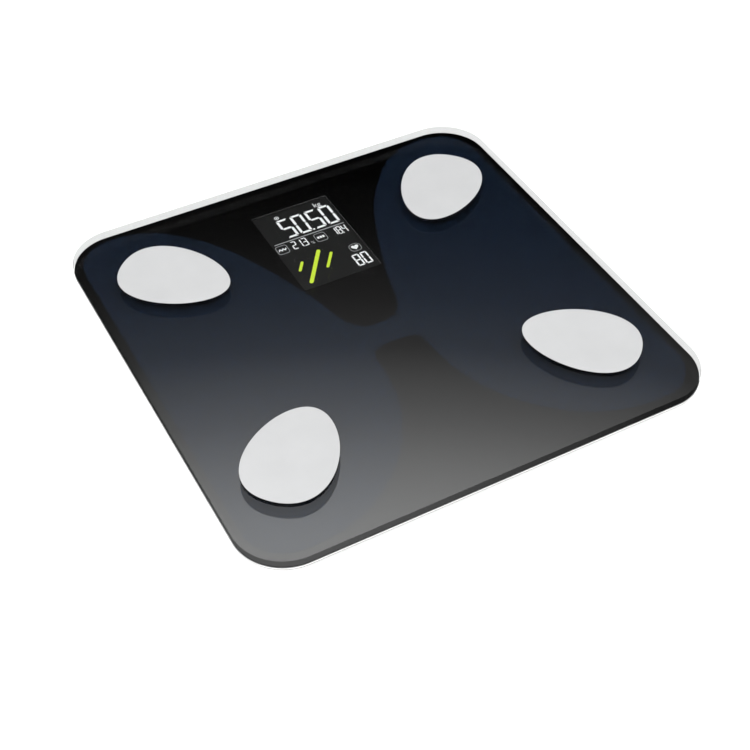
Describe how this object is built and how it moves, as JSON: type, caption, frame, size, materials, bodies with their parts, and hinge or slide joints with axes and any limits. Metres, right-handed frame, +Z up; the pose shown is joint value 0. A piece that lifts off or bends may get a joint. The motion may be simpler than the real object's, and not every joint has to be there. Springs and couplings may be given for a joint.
{
  "type": "digital bathroom scale",
  "caption": "Square glass bathroom scale with rounded corners, oval steel body-fat electrodes, a window display, sprung load-cell feet and a battery door underneath.",
  "frame": {"origin": "on the floor under the middle of the glass platform, level with the bottom of the feet", "axes": "+Z up through the glass, +Y towards the edge with the display, +X to the right of someone standing on it and facing the display"},
  "size_m": [0.3, 0.3, 0.0279],
  "materials": {
    "glass_clear": "clear tempered glass, polished edges",
    "ink_black": "black back-printed ink with navy lobes, glossy through the glass",
    "foam_white": "white double-sided foam tape",
    "steel_satin": "fine satin stainless steel",
    "steel_plated": "zinc or nickel plated steel",
    "abs_white": "fine textured white ABS",
    "abs_grey": "fine textured grey ABS",
    "abs_black": "matt black ABS",
    "rubber_black": "matt black rubber",
    "lcd_dark": "dark negative liquid crystal display",
    "diffuser_white": "milky light guide",
    "board_green": "green solder mask",
    "epoxy_black": "black moulded chip package",
    "battery_jacket": "plain blue battery jacket",
    "wire_white": "white PVC insulation",
    "wire_red": "red PVC insulation",
    "wire_black": "black PVC insulation"
  },
  "bodies": {
    "platform": {"base_tray": "abs_white", "battery_1": "battery_jacket", "battery_2": "battery_jacket", "battery_3": "battery_jacket", "battery_4": "battery_jacket", "battery_lead_negative": "wire_black", "battery_lead_positive": "wire_red", "board_screw_back_left": "steel_plated", "board_screw_back_right": "steel_plated", "board_screw_front_left": "steel_plated", "board_screw_front_right": "steel_plated", "cell_lead_back_left": "wire_white", "cell_lead_back_right": "wire_white", "cell_lead_front_left": "wire_white", "cell_lead_front_right": "wire_white", "cell_retainer_back_left": "abs_white", "cell_retainer_back_right": "abs_white", "cell_retainer_front_left": "abs_white", "cell_retainer_front_right": "abs_white", "contact_bridge_back": "steel_plated", "contact_bridge_left": "steel_plated", "contact_bridge_right": "steel_plated", "contact_negative": "steel_plated", "contact_positive": "steel_plated", "controller_chip": "epoxy_black", "display_backlight": "diffuser_white", "display_frame": "abs_black", "display_panel": "lcd_dark", "electrode_back_left": "steel_satin", "electrode_back_right": "steel_satin", "electrode_front_left": "steel_satin", "electrode_front_right": "steel_satin", "electrode_lead_back_left": "wire_red", "electrode_lead_back_right": "wire_red", "electrode_lead_front_left": "wire_red", "electrode_lead_front_right": "wire_red", "glass_platform": "glass_clear", "load_cell_back_left": "steel_plated", "load_cell_back_right": "steel_plated", "load_cell_front_left": "steel_plated", "load_cell_front_right": "steel_plated", "main_board": "board_green", "platform_tape": "foam_white", "print_film": "ink_black", "rim_frame": "abs_white", "unit_switch": "abs_black"},
    "foot_back_left": {"foot_back_left": "abs_grey", "foot_pad_back_left": "rubber_black"},
    "foot_back_right": {"foot_back_right": "abs_grey", "foot_pad_back_right": "rubber_black"},
    "foot_front_left": {"foot_front_left": "abs_grey", "foot_pad_front_left": "rubber_black"},
    "foot_front_right": {"foot_front_right": "abs_grey", "foot_pad_front_right": "rubber_black"},
    "battery_door": {"battery_door": "abs_white"},
    "unit_button": {"unit_button": "abs_grey"}
  },
  "joints": [
    {"name": "foot_back_left_press", "type": "slide", "parent": "platform", "child": "foot_back_left", "axis": [0, 0, 1], "range_m": [0, 0.0008], "stiffness_N_per_m": 20000},
    {"name": "foot_back_right_press", "type": "slide", "parent": "platform", "child": "foot_back_right", "axis": [0, 0, 1], "range_m": [0, 0.0008], "stiffness_N_per_m": 20000},
    {"name": "foot_front_left_press", "type": "slide", "parent": "platform", "child": "foot_front_left", "axis": [0, 0, 1], "range_m": [0, 0.0008], "stiffness_N_per_m": 20000},
    {"name": "foot_front_right_press", "type": "slide", "parent": "platform", "child": "foot_front_right", "axis": [0, 0, 1], "range_m": [0, 0.0008], "stiffness_N_per_m": 20000},
    {"name": "battery_door_hinge", "type": "hinge", "parent": "platform", "child": "battery_door", "pos_m": [0, -0.04645, 0.0048], "axis": [-1, 0, 0], "range_deg": [0, 95]},
    {"name": "unit_button_press", "type": "slide", "parent": "platform", "child": "unit_button", "axis": [0, 0, 1], "range_m": [0, 0.001], "stiffness_N_per_m": 300}
  ]
}
